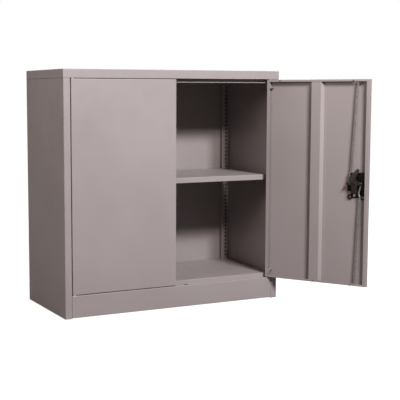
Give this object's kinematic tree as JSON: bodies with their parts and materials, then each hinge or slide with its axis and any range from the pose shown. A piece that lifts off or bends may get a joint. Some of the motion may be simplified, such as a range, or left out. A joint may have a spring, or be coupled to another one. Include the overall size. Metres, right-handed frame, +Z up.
{
  "type": "tool cabinet with doors",
  "caption": "Low light-grey sheet steel cabinet with hinged doors, an adjustable shelf on slotted uprights, a plinth and a turning lock with rods to cap and plinth.",
  "frame": {"origin": "on the floor, in the plane of the back, halfway between the sides", "axes": "+X to the right seen from the front, +Y to the back, +Z up"},
  "size_m": [1.085, 0.7485, 0.9],
  "materials": {
    "paint": "fine satin powder coat, warm light grey",
    "zinc": "dull zinc plate",
    "dark_steel": "oiled dark steel",
    "black_plastic": "fine matt moulded",
    "chrome": "bright plate",
    "rubber": "soft matt",
    "nylon": "natural"
  },
  "bodies": {
    "carcass": {"back_panel": "paint", "floor_panel": "paint", "floor_stiffener": "paint", "front_shelf_clip_left": "zinc", "front_shelf_clip_right": "zinc", "front_upright_left": "paint", "front_upright_right": "paint", "lower_pivot_bracket_left": "zinc", "lower_pivot_bracket_right": "zinc", "lower_pivot_bush_left": "nylon", "lower_pivot_bush_right": "nylon", "plinth": "paint", "plinth_screw": "zinc", "post_screw": "zinc", "rear_shelf_clip_left": "zinc", "rear_shelf_clip_right": "zinc", "rear_upright_left": "paint", "rear_upright_right": "paint", "shelf": "paint", "shelf_stiffener": "paint", "side_panel_left": "paint", "side_panel_right": "paint", "top_cap": "paint", "top_stiffener": "paint", "upper_pivot_bush_left": "nylon", "upper_pivot_bush_right": "nylon", "upper_pivot_plate_left": "zinc", "upper_pivot_plate_right": "zinc"},
    "left_door": {"left_door_pan": "paint", "left_door_stiffener": "paint", "left_lower_free_side_buffer": "rubber", "left_lower_middle_buffer": "rubber", "left_lower_pin_bracket": "paint", "left_lower_pivot_pin": "zinc", "left_upper_free_side_buffer": "rubber", "left_upper_hinge_side_buffer": "rubber", "left_upper_pin_bracket": "paint", "left_upper_pivot_pin": "zinc"},
    "right_door": {"handle_plate": "black_plastic", "lock_case": "black_plastic", "right_door_pan": "paint", "right_door_stiffener": "paint", "right_lower_free_side_buffer": "rubber", "right_lower_middle_buffer": "rubber", "right_lower_pin_bracket": "paint", "right_lower_pivot_pin": "zinc", "right_upper_free_side_buffer": "rubber", "right_upper_hinge_side_buffer": "rubber", "right_upper_pin_bracket": "paint", "right_upper_pivot_pin": "zinc"},
    "handle": {"wing_handle": "black_plastic", "handle_spindle": "zinc", "lock_cam": "dark_steel", "cam_screw": "dark_steel", "key_cylinder": "chrome"},
    "key_plug": {"key_plug": "chrome"},
    "upper_rod": {"upper_rod": "zinc"},
    "lower_rod": {"lower_rod": "zinc"}
  },
  "joints": [
    {"name": "left_door_hinge", "type": "hinge", "parent": "carcass", "child": "left_door", "pos_m": [-0.413, -0.3945, 0.47625], "axis": [0, 0, -1], "range_deg": [0, 125]},
    {"name": "right_door_hinge", "type": "hinge", "parent": "carcass", "child": "right_door", "pos_m": [0.413, -0.3945, 0.47625], "axis": [0, 0, 1], "range_deg": [-122, 3]},
    {"name": "handle_turn", "type": "hinge", "parent": "right_door", "child": "handle", "pos_m": [0.60298, -0.69852, 0.47625], "axis": [0.848, 0.5299, 0], "range_deg": [0, 90]},
    {"name": "key_turn", "type": "hinge", "parent": "handle", "child": "key_plug", "pos_m": [0.60298, -0.69852, 0.47625], "axis": [0.848, 0.5299, 0], "range_deg": [0, 90]},
    {"name": "upper_rod_pivot", "type": "hinge", "parent": "handle", "child": "upper_rod", "pos_m": [0.59026, -0.67817, 0.47625], "axis": [0.848, 0.5299, 0], "range_deg": [-93.46, 0]},
    {"name": "lower_rod_pivot", "type": "hinge", "parent": "handle", "child": "lower_rod", "pos_m": [0.61569, -0.71888, 0.47625], "axis": [0.848, 0.5299, 0], "range_deg": [-93.58, 0]}
  ],
  "couplings": [
    {"joint": "upper_rod_pivot", "follows": "handle_turn", "ratio": -1.0385},
    {"joint": "lower_rod_pivot", "follows": "handle_turn", "ratio": -1.0398}
  ]
}
